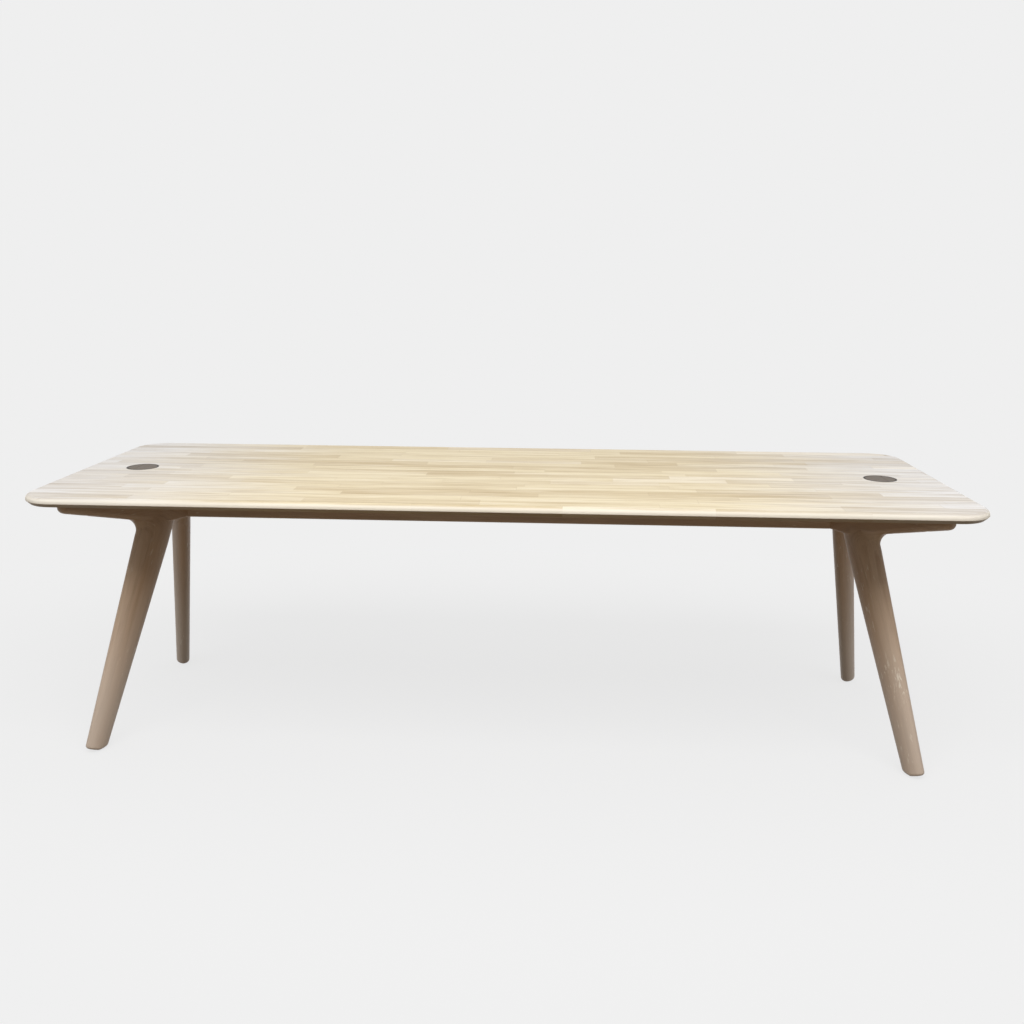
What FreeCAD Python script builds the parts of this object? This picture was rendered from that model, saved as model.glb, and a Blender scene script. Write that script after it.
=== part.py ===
import FreeCAD, Part
import math
import os
from types import SimpleNamespace

from FreeCAD import Placement, Rotation, Vector
from Sketcher import Constraint

os.makedirs("parts", exist_ok=True)
doc = FreeCAD.newDocument("long_table")

# Driving dimensions: lengths in millimetres, angles in degrees
values = [
    ("top_length", 2400),
    ("top_width", 800),
    ("table_height", 730),
    ("top_thickness", 25),
    ("top_corner_radius", 90),
    ("top_edge_round", 14),
    ("under_edge_bevel", 10),
    ("hub_inset", 278),               # from the end of the top in to the point where three members meet
    ("arm_angle", 60),                # of each arm from the long axis, in plan
    ("frame_depth", 115),
    ("joint_inset", 15),              # from the meeting point back to the end of the spine
    ("hub_relief", 0.4),              # flat hub side inside the round of the leg head
    ("hub_edge_round", 6),
    ("leg_splay", 23.4),
    ("leg_head_reach", 103),          # from the meeting point out to the leg, at the underside of the frame
    ("leg_foot_major", 30.5),         # half axes of the oval leg, in the plane of its arm and across it
    ("leg_foot_minor", 20),
    ("leg_head_major", 54),
    ("leg_head_minor", 26),
    ("leg_foot_round", 8),
    ("leg_toe_rise", 3),              # up the leg from the floor to the square cut of its toe
    ("tenon_radius", 20),
    ("tenon_length", 50),
    ("tenon_clearance", 0.1),
    ("arm_length", 386),
    ("arm_root_reach", 98),
    ("arm_root_width", 48),
    ("arm_nose_width", 38),
    ("arm_nose_depth", 29.7),
    ("arm_edge_round", 16),
    ("arm_nose_round", 17),
    ("knee_fillet", 35),
    ("knee_fillet_margin", 4.4),      # from the end of the fillet down to the end of the knee
    ("spine_width", 50),
    ("spine_edge_round", 6),
    ("bolt_radius", 4),
    ("bolt_head_radius", 7),
    ("bolt_head_height", 5),
    ("bolt_drive_radius", 2.5),
    ("bolt_drive_depth", 3),
    ("bolt_hole_clearance", 0.3),
    ("washer_radius", 9),
    ("washer_thickness", 1.6),
    ("counterbore_radius", 10),
    ("clamp_depth", 20),              # timber left between a bolt head and the top
    ("insert_radius", 6),
    ("insert_length", 15),
    ("insert_clearance", 0.1),
    ("insert_end_gap", 1),
    ("thread_clearance", 0.05),
    ("spine_bolt_pitch", 600),
    ("joint_bolt_offset", 12),
    ("joint_bolt_drop", 55),
    ("joint_bolt_seat", 20),
    ("joint_bolt_bite", 55),
    ("joint_hole_end_gap", 5),
    ("barrel_radius", 7),
    ("barrel_length", 26),
    ("barrel_setback", 40),
    ("barrel_clearance", 0.1),
    ("dowel_radius", 5),
    ("dowel_length", 50),
    ("dowel_out", 8),
    ("dowel_upper_drop", 22),
    ("dowel_lower_drop", 88),
    ("dowel_clearance", 0.1),
    ("glide_radius", 8),
    ("glide_thickness", 3),
    ("glide_inset", 11),
    ("glide_pin_radius", 2),
    ("glide_pin_length", 14),
    ("glide_pin_clearance", 0.1),
    ("outlet_inset", 162),            # from the end of the top in to the middle of the outlet
    ("outlet_bore_radius", 40),
    ("outlet_flange_radius", 44),
    ("outlet_flange_depth", 4),
    ("outlet_clearance", 0.2),
    ("sleeve_bore_radius", 36),
    ("sleeve_depth", 24),
    ("lid_radius", 39),
    ("lid_clearance", 0.3),
    ("lid_seat_gap", 0.2),
    ("flap_radius", 36.1),
    ("flap_thickness", 2.4),
    ("flap_clearance", 0.3),
    ("flap_seat_gap", 0.2),
    ("flap_ledge_width", 2.4),
    ("flap_axis_reach", 14),
    ("knuckle_radius", 2),
    ("pin_radius", 1),
    ("pin_clearance", 0.08),
    ("pin_bite", 2),
    ("overrun", 20),
    ("match_tolerance", 0.01),
]

# Sizes worked out from the driving dimensions
derived = [
    ("frame_top", "table_height - top_thickness"),
    ("frame_bottom", "frame_top - frame_depth"),
    ("hub_reach", "top_length / 2 - hub_inset"),
    ("outlet_reach", "top_length / 2 - outlet_inset"),
    ("joint_reach", "hub_reach - joint_inset"),
    ("hub_half_width", "leg_head_minor - hub_relief"),
    ("splay_run", "tan(leg_splay)"),
    ("leg_foot_reach", "leg_head_reach + frame_bottom * splay_run"),
    ("arm_slope", "(frame_depth - arm_nose_depth) / (arm_length - arm_root_reach)"),
    ("root_run", "leg_foot_reach - arm_root_reach"),
    ("crotch_height", "(frame_bottom + arm_slope * root_run) / (1 + arm_slope * splay_run)"),
    ("lean_cos", "cos(leg_splay)"),
    ("lean_sin", "sin(leg_splay)"),
    ("spring_rise", "frame_bottom + arm_slope * (root_run + leg_head_major * lean_cos)"),
    ("spring_turn", "lean_cos + arm_slope * lean_sin"),
    ("spring_along", "(spring_rise - leg_head_major * lean_sin) / spring_turn"),
    ("fillet_spread", "sqrt(1 + arm_slope^2) - lean_sin + arm_slope * lean_cos"),
    ("fillet_run", "knee_fillet * spring_turn / fillet_spread"),
    ("leg_length", "spring_along - fillet_run - knee_fillet_margin"),
    ("major_taper", "(leg_head_major - leg_foot_major) / leg_length"),
    ("minor_taper", "(leg_head_minor - leg_foot_minor) / leg_length"),
    ("bolt_seat_height", "frame_top - clamp_depth"),
    ("bolt_hole_radius", "bolt_radius + bolt_hole_clearance"),
    ("joint_bolt_height", "frame_top - joint_bolt_drop"),
    ("barrel_reach", "joint_reach - barrel_setback"),
    ("barrel_hole_depth", "joint_bolt_drop + barrel_length / 2"),
    ("lid_recess_radius", "lid_radius + lid_clearance"),
    ("lid_thickness", "outlet_flange_depth - lid_seat_gap"),
    ("window_radius", "flap_radius + flap_clearance"),
    ("ledge_radius", "window_radius - flap_ledge_width"),
    ("window_chord", "flap_axis_reach - knuckle_radius - flap_clearance"),
    ("knuckle_reach", "flap_axis_reach + knuckle_radius"),
    ("knuckle_half_length", "sqrt((ledge_radius - flap_clearance)^2 - knuckle_reach^2)"),
    ("pin_half_length", "sqrt(window_radius^2 - flap_axis_reach^2) + pin_bite"),
]

# Places of the two bolts under each arm, as shares of its length
arm_bolt_shares = (0.57, 0.825)

sheet = doc.addObject("Spreadsheet::Sheet", "dims")
for row, (name, text) in enumerate(values + derived, 1):
    sheet.set("A%d" % row, name)
    sheet.set("B%d" % row, str(text) if row <= len(values) else "=" + text)
    sheet.setAlias("B%d" % row, name)
doc.recompute()


# A size from the sheet, or worked out from such sizes: its number and the expression that keeps it bound
class Size:
    def __init__(self, number, text):
        self.number = float(number)
        self.text = text

    def __add__(self, other):
        other = asSize(other)
        return Size(self.number + other.number, "(%s + %s)" % (self.text, other.text))

    def __sub__(self, other):
        other = asSize(other)
        return Size(self.number - other.number, "(%s - %s)" % (self.text, other.text))

    def __mul__(self, other):
        other = asSize(other)
        return Size(self.number * other.number, "(%s * %s)" % (self.text, other.text))

    def __truediv__(self, other):
        other = asSize(other)
        return Size(self.number / other.number, "(%s / %s)" % (self.text, other.text))

    def __rsub__(self, other):
        return asSize(other) - self

    def __neg__(self):
        return asSize(0) - self

    __radd__ = __add__
    __rmul__ = __mul__


def asSize(thing):
    return thing if isinstance(thing, Size) else Size(thing, "(%s)" % thing)


def cosOf(angle):
    return Size(math.cos(math.radians(angle.number)), "cos(%s)" % angle.text)


def sinOf(angle):
    return Size(math.sin(math.radians(angle.number)), "sin(%s)" % angle.text)


d = SimpleNamespace(**{name: Size(sheet.get(name), "dims." + name) for name, text in values + derived})


def bind(thing, attribute, amount):
    thing.setExpression(attribute, asSize(amount).text)


def newBody(label, x=0, y=0, z=0, turn=None):
    body = doc.addObject("PartDesign::Body", label)
    body.Label = label
    if turn is not None:
        body.Placement = Placement(Vector(), Rotation(Vector(0, 0, 1), asSize(turn).number))
        bind(body, "Placement.Rotation.Angle", turn)
    for axis, place in (("x", x), ("y", y), ("z", z)):
        bind(body, "Placement.Base." + axis, place)
    return body


# A sketch on one of the body's own planes, moved along and turned within that plane's axes
def newSketch(body, role, move=(0, 0, 0), axis=None, turn=None):
    plane = [item for item in body.Origin.OriginFeatures if item.Role == role][0]
    sketch = body.newObject("Sketcher::SketchObject", body.Label + "_sketch")
    sketch.AttachmentSupport = [(plane, "")]
    sketch.MapMode = "FlatFace"
    if turn is not None:
        sketch.AttachmentOffset = Placement(Vector(), Rotation(axis, turn.number))
        bind(sketch, "AttachmentOffset.Rotation.Angle", turn)
    for name, place in zip("xyz", move):
        if isinstance(place, Size):
            bind(sketch, "AttachmentOffset.Base." + name, place)
    return sketch


def holdSize(sketch, constraint, amount):
    index = sketch.addConstraint(constraint)
    sketch.renameConstraint(index, "size%d" % index)
    bind(sketch, "Constraints.size%d" % index, amount)


def holdPoint(sketch, item, end, x, y):
    for kind, place, axis in (("DistanceX", x, -2), ("DistanceY", y, -1)):
        if isinstance(place, Size):
            holdSize(sketch, Constraint(kind, -1, 1, item, end, place.number), place)
        else:
            sketch.addConstraint(Constraint("PointOnObject", item, end, axis))


def drawOutline(sketch, points):
    spots = [Vector(asSize(x).number, asSize(y).number, 0) for x, y in points]
    first = sketch.GeometryCount
    count = len(points)
    for k in range(count):
        sketch.addGeometry(Part.LineSegment(spots[k], spots[(k + 1) % count]), False)
    for k in range(count):
        sketch.addConstraint(Constraint("Coincident", first + k, 2, first + (k + 1) % count, 1))
    for k, (x, y) in enumerate(points):
        holdPoint(sketch, first + k, 1, x, y)


def drawCircle(sketch, x, y, radius):
    centre = Vector(asSize(x).number, asSize(y).number, 0)
    item = sketch.addGeometry(Part.Circle(centre, Vector(0, 0, 1), radius.number), False)
    holdSize(sketch, Constraint("Radius", item, radius.number), radius)
    if isinstance(x, Size) or isinstance(y, Size):
        holdPoint(sketch, item, 3, x, y)
    else:
        sketch.addConstraint(Constraint("Coincident", item, 3, -1, 1))


# The part of a disc about the origin that lies beyond a straight chord
def drawSegment(sketch, radius, chord):
    half = math.acos(chord.number / radius.number)
    circle = Part.Circle(Vector(0, 0, 0), Vector(0, 0, 1), radius.number)
    arc = sketch.addGeometry(Part.ArcOfCircle(circle, -half, half), False)
    rise = radius.number * math.sin(half)
    line = Part.LineSegment(Vector(chord.number, rise, 0), Vector(chord.number, -rise, 0))
    line = sketch.addGeometry(line, False)
    sketch.addConstraint(Constraint("Coincident", arc, 3, -1, 1))
    sketch.addConstraint(Constraint("Coincident", arc, 2, line, 1))
    sketch.addConstraint(Constraint("Coincident", arc, 1, line, 2))
    sketch.addConstraint(Constraint("Vertical", line))
    holdSize(sketch, Constraint("Radius", arc, radius.number), radius)
    holdSize(sketch, Constraint("DistanceX", -1, 1, line, 1, chord.number), chord)


# Oval about the origin, its seam on the inner side
def drawOval(sketch, major, minor):
    oval = Part.Ellipse(Vector(-major.number, 0, 0), Vector(0, -minor.number, 0), Vector(0, 0, 0))
    item = sketch.addGeometry(oval, False)
    sketch.exposeInternalGeometry(item)
    sketch.addConstraint(Constraint("Coincident", item, 3, -1, 1))
    sketch.addConstraint(Constraint("Horizontal", item + 1))
    holdSize(sketch, Constraint("Distance", item + 1, 2 * major.number), 2 * major)
    holdSize(sketch, Constraint("Distance", item + 2, 2 * minor.number), 2 * minor)


def finishFeature(body, feature):
    body.Tip = feature
    doc.recompute()
    return feature


def padSketch(body, sketch, length, symmetric=False, reverse=False):
    pad = body.newObject("PartDesign::Pad", body.Label + "_pad")
    pad.Profile = sketch
    pad.SideType = "Symmetric" if symmetric else "One side"
    pad.Reversed = reverse
    bind(pad, "Length", length)
    return finishFeature(body, pad)


# A pocket of a stated depth, or right through, back from its sketch or else where the timber is
def cutSketch(body, sketch, depth=None, symmetric=False, forward=False):
    before = body.Shape.Volume
    pocket = body.newObject("PartDesign::Pocket", body.Label + "_pocket")
    pocket.Profile = sketch
    pocket.SideType = "Symmetric" if symmetric else "One side"
    pocket.Reversed = forward
    if depth:
        bind(pocket, "Length", depth)
    else:
        pocket.Type = "ThroughAll"
    finishFeature(body, pocket)
    if body.Shape.Volume > before * volumeShare:
        pocket.Reversed = True
        finishFeature(body, pocket)
    return pocket


def spinSketch(body, sketch):
    turned = body.newObject("PartDesign::Revolution", body.Label + "_turned")
    turned.Profile = sketch
    turned.ReferenceAxis = (sketch, ["V_Axis"])
    turned.Angle = 360
    return finishFeature(body, turned)


def loftSketches(body, low, high):
    loft = body.newObject("PartDesign::AdditiveLoft", body.Label + "_loft")
    loft.Profile = low
    loft.Sections = [high]
    loft.Ruled = True
    return finishFeature(body, loft)


def boreSketch(body, sketch):
    bore = body.newObject("PartDesign::Groove", body.Label + "_bore")
    bore.Profile = sketch
    bore.ReferenceAxis = (sketch, ["V_Axis"])
    bore.Angle = 360
    return finishFeature(body, bore)


def roundEdges(body, radius, wanted):
    base = body.Tip
    names = ["Edge%d" % (k + 1) for k, edge in enumerate(base.Shape.Edges) if wanted(edge)]
    fillet = body.newObject("PartDesign::Fillet", body.Label + "_round")
    fillet.Base = (base, names)
    bind(fillet, "Radius", radius)
    return finishFeature(body, fillet)


def bevelEdges(body, size, wanted):
    base = body.Tip
    names = ["Edge%d" % (k + 1) for k, edge in enumerate(base.Shape.Edges) if wanted(edge)]
    bevel = body.newObject("PartDesign::Chamfer", body.Label + "_bevel")
    bevel.Base = (base, names)
    bind(bevel, "Size", size)
    return finishFeature(body, bevel)


def near(one, other):
    return abs(one - other) < tolerance


def spotOn(edge):
    return edge.valueAt((edge.FirstParameter + edge.LastParameter) / 2)


volumeShare = 0.9999999
tolerance = d.match_tolerance.number
sides = (("left", -1), ("right", 1))
corners = [
    ("front_left", -1, -1),
    ("front_right", 1, -1),
    ("rear_left", -1, 1),
    ("rear_right", 1, 1),
]


# Plan angle of an arm about its hub, for the table's four corners
def armTurn(lengthways, crossways):
    return crossways * d.arm_angle if lengthways > 0 else crossways * (180 - d.arm_angle)


# Places of the bolts that hold the frame to the top: two under each arm, three along the spine
def topBolts():
    places = [(k * d.spine_bolt_pitch, 0) for k in (-1, 1)]
    places.append((0, 0))
    for corner, lengthways, crossways in corners:
        for share in arm_bolt_shares:
            reach = share * d.arm_length
            along = lengthways * (d.hub_reach + reach * cosOf(d.arm_angle))
            across = crossways * reach * sinOf(d.arm_angle)
            places.append((along, across))
    return places


# Stave-glued panel: soft bullnose edge, two stepped outlet bores, blind holes for the threaded bushes
def makeTop():
    body = newBody("table_top", z=d.frame_top)
    sketch = newSketch(body, "XY_Plane")
    x, y = d.top_length / 2, d.top_width / 2
    drawOutline(sketch, [(-x, -y), (x, -y), (x, y), (-x, y)])
    padSketch(body, sketch, d.top_thickness)
    roundEdges(body, d.top_corner_radius, lambda e: near(abs(e.tangentAt(e.FirstParameter).z), 1))
    high = d.top_thickness.number
    roundEdges(body, d.top_edge_round, lambda e: near(e.BoundBox.ZLength, 0) and near(spotOn(e).z, high))
    bevelEdges(body, d.under_edge_bevel, lambda e: near(e.BoundBox.ZLength, 0) and near(spotOn(e).z, 0))
    sketch = newSketch(body, "XY_Plane", (0, 0, d.top_thickness))
    for side, sign in sides:
        drawCircle(sketch, sign * d.outlet_reach, 0, d.outlet_flange_radius + d.outlet_clearance)
    cutSketch(body, sketch, d.outlet_flange_depth)
    sketch = newSketch(body, "XY_Plane")
    for side, sign in sides:
        drawCircle(sketch, sign * d.outlet_reach, 0, d.outlet_bore_radius)
    cutSketch(body, sketch)
    sketch = newSketch(body, "XY_Plane")
    for x, y in topBolts():
        drawCircle(sketch, x, y, d.insert_radius + d.insert_clearance)
    cutSketch(body, sketch, d.insert_length + d.insert_end_gap)
    return body


# Centre beam: square ends against the hubs, deep counterbores below, bolt and barrel nut holes at the ends
def makeSpine():
    body = newBody("spine_beam")
    sketch = newSketch(body, "YZ_Plane")
    y = d.spine_width / 2
    drawOutline(sketch, [(-y, d.frame_bottom), (y, d.frame_bottom), (y, d.frame_top), (-y, d.frame_top)])
    padSketch(body, sketch, 2 * d.joint_reach, symmetric=True)
    low = d.frame_bottom.number
    roundEdges(body, d.spine_edge_round, lambda e: near(spotOn(e).z, low) and near(e.BoundBox.YLength, 0))
    sketch = newSketch(body, "XY_Plane", (0, 0, d.frame_top))
    for x, y in topBolts()[:3]:
        drawCircle(sketch, x, y, d.bolt_hole_radius)
    cutSketch(body, sketch, d.clamp_depth + d.overrun)
    sketch = newSketch(body, "XY_Plane", (0, 0, d.frame_bottom))
    for x, y in topBolts()[:3]:
        drawCircle(sketch, x, y, d.counterbore_radius)
    cutSketch(body, sketch, d.frame_depth - d.clamp_depth)
    sketch = newSketch(body, "XY_Plane", (0, 0, d.frame_top))
    for side, sign in sides:
        for across in (-1, 1):
            x, y = sign * d.barrel_reach, across * d.joint_bolt_offset
            drawCircle(sketch, x, y, d.barrel_radius + d.barrel_clearance)
    cutSketch(body, sketch, d.barrel_hole_depth)
    for side, sign in sides:
        sketch = newSketch(body, "YZ_Plane", (0, 0, sign * d.joint_reach))
        for across in (-1, 1):
            drawCircle(sketch, across * d.joint_bolt_offset, d.joint_bolt_height, d.bolt_hole_radius)
        cutSketch(body, sketch, d.joint_bolt_bite + d.joint_hole_end_gap)
    return body


# Sketch in the upright plane of a leg, with its upright axis along the leg
def legSketch(body):
    return newSketch(body, "XZ_Plane", (d.leg_foot_reach, 0, 0), Vector(0, 0, 1), d.leg_splay)


# Sketch square to a leg, so far up it from the floor
def ovalSketch(body, along):
    place = (d.leg_foot_reach - along * sinOf(d.leg_splay), 0, along * cosOf(d.leg_splay))
    return newSketch(body, "XY_Plane", place, Vector(0, 1, 0), -d.leg_splay)


# Sculpted knee: flat-sided hub, oval leg head and tapering arm, blended where the arm leaves the leg head
def makeKnee(corner, lengthways, crossways):
    hand = lengthways * crossways
    body = newBody("knee_" + corner, lengthways * d.hub_reach, turn=armTurn(lengthways, crossways))
    sketch = newSketch(body, "XZ_Plane")
    axisTop = d.leg_foot_reach - d.frame_top * d.splay_run
    drawOutline(sketch, [
        (axisTop, d.frame_top),
        (d.arm_length, d.frame_top),
        (d.arm_length, d.frame_top - d.arm_nose_depth),
        (d.leg_foot_reach - d.crotch_height * d.splay_run, d.crotch_height),
    ])
    padSketch(body, sketch, d.arm_root_width, symmetric=True)
    sketch = newSketch(body, "XY_Plane", (0, 0, d.frame_top))
    for across in (-1, 1):
        drawOutline(sketch, [
            (axisTop, across * d.arm_root_width / 2),
            (d.arm_length, across * d.arm_nose_width / 2),
            (d.arm_length + d.overrun, across * d.arm_nose_width / 2),
            (d.arm_length + d.overrun, across * (d.arm_root_width / 2 + d.overrun)),
            (axisTop, across * (d.arm_root_width / 2 + d.overrun)),
        ])
    cutSketch(body, sketch)
    nose = d.arm_length.number
    roundEdges(body, d.arm_nose_round, lambda e: near(spotOn(e).x, nose) and near(e.BoundBox.YLength, 0))
    top = d.frame_top.number
    axisFoot, run = d.leg_foot_reach.number, d.splay_run.number

    # distance of a place on the knee out from the leg's own axis, level with it
    def outFromLeg(spot):
        return spot.x - (axisFoot - spot.z * run)

    def underArm(edge):
        spot = spotOn(edge)
        upright = near(edge.BoundBox.XLength, 0) and near(edge.BoundBox.YLength, 0)
        return outFromLeg(spot) > tolerance and spot.z < top - tolerance and not upright

    roundEdges(body, d.arm_edge_round, underArm)
    sketch = newSketch(body, "XZ_Plane")
    drawOutline(sketch, [
        (-d.leg_head_major, d.frame_top),
        (axisTop, d.frame_top),
        (d.leg_foot_reach - d.frame_bottom * d.splay_run, d.frame_bottom),
        (-d.leg_head_major, d.frame_bottom),
    ])
    padSketch(body, sketch, 2 * d.hub_half_width, symmetric=True)
    low, half = d.frame_bottom.number, d.hub_half_width.number
    roundEdges(body, d.hub_edge_round, lambda e: near(spotOn(e).z, low) and near(abs(spotOn(e).y), half))
    headTop = d.frame_top / cosOf(d.leg_splay) + d.leg_head_major * d.splay_run + d.overrun
    sketch = ovalSketch(body, d.leg_length)
    drawOval(sketch, d.leg_head_major, d.leg_head_minor)
    padSketch(body, sketch, headTop - d.leg_length)
    sketch = newSketch(body, "XZ_Plane")
    drawOutline(sketch, [
        (-2 * d.leg_head_major, d.frame_top),
        (d.arm_length + d.overrun, d.frame_top),
        (d.arm_length + d.overrun, d.frame_top + 2 * d.leg_head_major + d.overrun),
        (-2 * d.leg_head_major, d.frame_top + 2 * d.leg_head_major + d.overrun),
    ])
    cutSketch(body, sketch, symmetric=True)
    split = d.leg_length.number
    lean = math.radians(d.leg_splay.number)

    # edges where the arm springs from the oval of the leg head
    def springing(edge):
        spot = spotOn(edge)
        along = spot.z * math.cos(lean) - (spot.x - axisFoot) * math.sin(lean)
        faces = body.Tip.Shape.ancestorsOfType(edge, Part.Face)
        kinds = [f.Surface for f in faces]
        onHead = [s for s in kinds if isinstance(s, Part.SurfaceOfExtrusion)]
        level = near(edge.BoundBox.ZLength, 0) and near(spot.z, top)
        above = along > split + tolerance and not level
        return len(onHead) == 1 and len(faces) == 2 and outFromLeg(spot) > tolerance and above

    roundEdges(body, d.knee_fillet, springing)
    sketch = newSketch(body, "XY_Plane", axis=Vector(0, 0, 1), turn=-hand * d.arm_angle)
    reach = 2 * d.leg_head_major + d.joint_inset
    drawOutline(sketch, [
        (-reach, -2 * d.leg_head_major),
        (-d.joint_inset, -2 * d.leg_head_major),
        (-d.joint_inset, 2 * d.leg_head_major),
        (-reach, 2 * d.leg_head_major),
    ])
    cutSketch(body, sketch)
    sketch = newSketch(body, "XY_Plane", axis=Vector(0, 0, 1), turn=hand * (90 - d.arm_angle))
    drawOutline(sketch, [
        (-2 * d.leg_head_major, -2 * d.leg_head_major),
        (0, -2 * d.leg_head_major),
        (0, 2 * d.leg_head_major),
        (-2 * d.leg_head_major, 2 * d.leg_head_major),
    ])
    cutSketch(body, sketch)
    sketch = legSketch(body)
    socket = d.leg_length + d.tenon_length + d.tenon_clearance
    drawOutline(sketch, [
        (0, d.leg_length - d.overrun),
        (d.tenon_radius + d.tenon_clearance, d.leg_length - d.overrun),
        (d.tenon_radius + d.tenon_clearance, socket),
        (0, socket),
    ])
    boreSketch(body, sketch)
    for radius, level, depth in (
        (d.bolt_hole_radius, d.frame_top, d.clamp_depth + d.overrun),
        (d.counterbore_radius, d.bolt_seat_height, d.frame_depth),
    ):
        sketch = newSketch(body, "XY_Plane", (0, 0, level))
        for share in arm_bolt_shares:
            drawCircle(sketch, share * d.arm_length, 0, radius)
        cutSketch(body, sketch, depth)
    upright = Vector(0, 1, 0)
    turn = d.arm_angle if hand < 0 else 180 - d.arm_angle
    sketch = newSketch(body, "XZ_Plane", axis=upright, turn=turn)
    for drop in (d.dowel_upper_drop, d.dowel_lower_drop):
        drawCircle(sketch, -hand * d.dowel_out, d.frame_top - drop, d.dowel_radius + d.dowel_clearance)
    cutSketch(body, sketch, d.dowel_length + 2 * d.dowel_clearance, symmetric=True)
    turn = 180 - (90 - d.arm_angle) if hand < 0 else 90 - d.arm_angle
    sketch = newSketch(body, "XZ_Plane", axis=upright, turn=turn)
    drawCircle(sketch, hand * d.joint_bolt_offset, d.joint_bolt_height, d.bolt_hole_radius)
    cutSketch(body, sketch, symmetric=True)
    seat = (d.joint_bolt_seat * cosOf(d.arm_angle), 0, hand * d.joint_bolt_seat * sinOf(d.arm_angle))
    sketch = newSketch(body, "XZ_Plane", seat, upright, turn)
    drawCircle(sketch, hand * d.joint_bolt_offset, d.joint_bolt_height, d.counterbore_radius)
    cutSketch(body, sketch, 2 * d.leg_head_major + d.overrun, forward=True)
    return body


# Shaped leg: tapering oval, turned tenon at its head, foot cut level and rounded over
def makeLeg(corner, lengthways, crossways):
    body = newBody("leg_" + corner, lengthways * d.hub_reach, turn=armTurn(lengthways, crossways))
    rise = d.leg_toe_rise
    low = ovalSketch(body, rise)
    drawOval(low, d.leg_foot_major + rise * d.major_taper, d.leg_foot_minor + rise * d.minor_taper)
    high = ovalSketch(body, d.leg_length)
    drawOval(high, d.leg_head_major, d.leg_head_minor)
    loftSketches(body, low, high)
    sketch = ovalSketch(body, d.leg_length)
    drawCircle(sketch, 0, 0, d.tenon_radius)
    padSketch(body, sketch, d.tenon_length)
    sketch = newSketch(body, "XZ_Plane")
    drawOutline(sketch, [
        (0, -4 * d.leg_foot_major),
        (2 * d.leg_foot_reach, -4 * d.leg_foot_major),
        (2 * d.leg_foot_reach, d.glide_thickness),
        (0, d.glide_thickness),
    ])
    cutSketch(body, sketch, symmetric=True)
    reach = 2 * d.leg_foot_minor.number
    roundEdges(body, d.leg_foot_round, lambda e: spotOn(e).z < reach and e.BoundBox.ZMax < reach)
    sketch = newSketch(body, "XY_Plane", (0, 0, d.glide_thickness))
    drawCircle(sketch, d.leg_foot_reach - d.glide_inset, 0, d.glide_pin_radius + d.glide_pin_clearance)
    cutSketch(body, sketch, d.glide_pin_length + d.glide_pin_clearance)
    return body


# Thin pad under a foot, on a pin pressed up into the leg
def makeGlide(corner, lengthways, crossways):
    along = lengthways * (d.hub_reach + (d.leg_foot_reach - d.glide_inset) * cosOf(d.arm_angle))
    across = crossways * (d.leg_foot_reach - d.glide_inset) * sinOf(d.arm_angle)
    body = newBody("glide_" + corner, along, across)
    sketch = newSketch(body, "XZ_Plane")
    drawOutline(sketch, [
        (0, 0),
        (d.glide_radius, 0),
        (d.glide_radius, d.glide_thickness),
        (d.glide_pin_radius, d.glide_thickness),
        (d.glide_pin_radius, d.glide_thickness + d.glide_pin_length),
        (0, d.glide_thickness + d.glide_pin_length),
    ])
    spinSketch(body, sketch)
    return body


def outletBody(name, side, sign):
    turn = 90 - 90 * sign
    return newBody("%s_%s" % (name, side), sign * d.outlet_reach, z=d.table_height, turn=turn)


# Outlet sleeve: barrel in the bore, flange let in flush, ledge for the lid
def makeSleeve(side, sign):
    body = outletBody("outlet_sleeve", side, sign)
    sketch = newSketch(body, "XZ_Plane")
    drawOutline(sketch, [
        (d.sleeve_bore_radius, -d.sleeve_depth),
        (d.outlet_bore_radius - d.outlet_clearance, -d.sleeve_depth),
        (d.outlet_bore_radius - d.outlet_clearance, -d.outlet_flange_depth),
        (d.outlet_flange_radius, -d.outlet_flange_depth),
        (d.outlet_flange_radius, 0),
        (d.lid_recess_radius, 0),
        (d.lid_recess_radius, -d.outlet_flange_depth),
        (d.sleeve_bore_radius, -d.outlet_flange_depth),
    ])
    spinSketch(body, sketch)
    return body


# Outlet lid: turns in the sleeve, with a window for the flap, a ledge under it and holes for its pin
def makeLid(side, sign):
    body = outletBody("outlet_lid", side, sign)
    sketch = newSketch(body, "XY_Plane")
    drawCircle(sketch, 0, 0, d.lid_radius)
    padSketch(body, sketch, d.lid_thickness, reverse=True)
    sketch = newSketch(body, "XY_Plane")
    drawSegment(sketch, d.window_radius, d.window_chord)
    cutSketch(body, sketch, d.flap_thickness + d.flap_seat_gap)
    sketch = newSketch(body, "XY_Plane")
    drawSegment(sketch, d.ledge_radius, d.window_chord)
    cutSketch(body, sketch)
    sketch = newSketch(body, "XZ_Plane")
    drawCircle(sketch, d.flap_axis_reach, -d.knuckle_radius, d.pin_radius + d.pin_clearance)
    cutSketch(body, sketch, 2 * (d.pin_half_length + d.pin_clearance), symmetric=True)
    return body


# Outlet flap: the plate beyond the chord, with the knuckle that it swings on
def makeFlap(side, sign):
    body = outletBody("outlet_flap", side, sign)
    sketch = newSketch(body, "XY_Plane")
    drawSegment(sketch, d.flap_radius, d.flap_axis_reach)
    padSketch(body, sketch, d.flap_thickness, reverse=True)
    sketch = newSketch(body, "XZ_Plane")
    drawCircle(sketch, d.flap_axis_reach, -d.knuckle_radius, d.knuckle_radius)
    padSketch(body, sketch, 2 * d.knuckle_half_length, symmetric=True)
    sketch = newSketch(body, "XZ_Plane")
    drawCircle(sketch, d.flap_axis_reach, -d.knuckle_radius, d.pin_radius + d.pin_clearance)
    cutSketch(body, sketch, symmetric=True)
    return body


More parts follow.
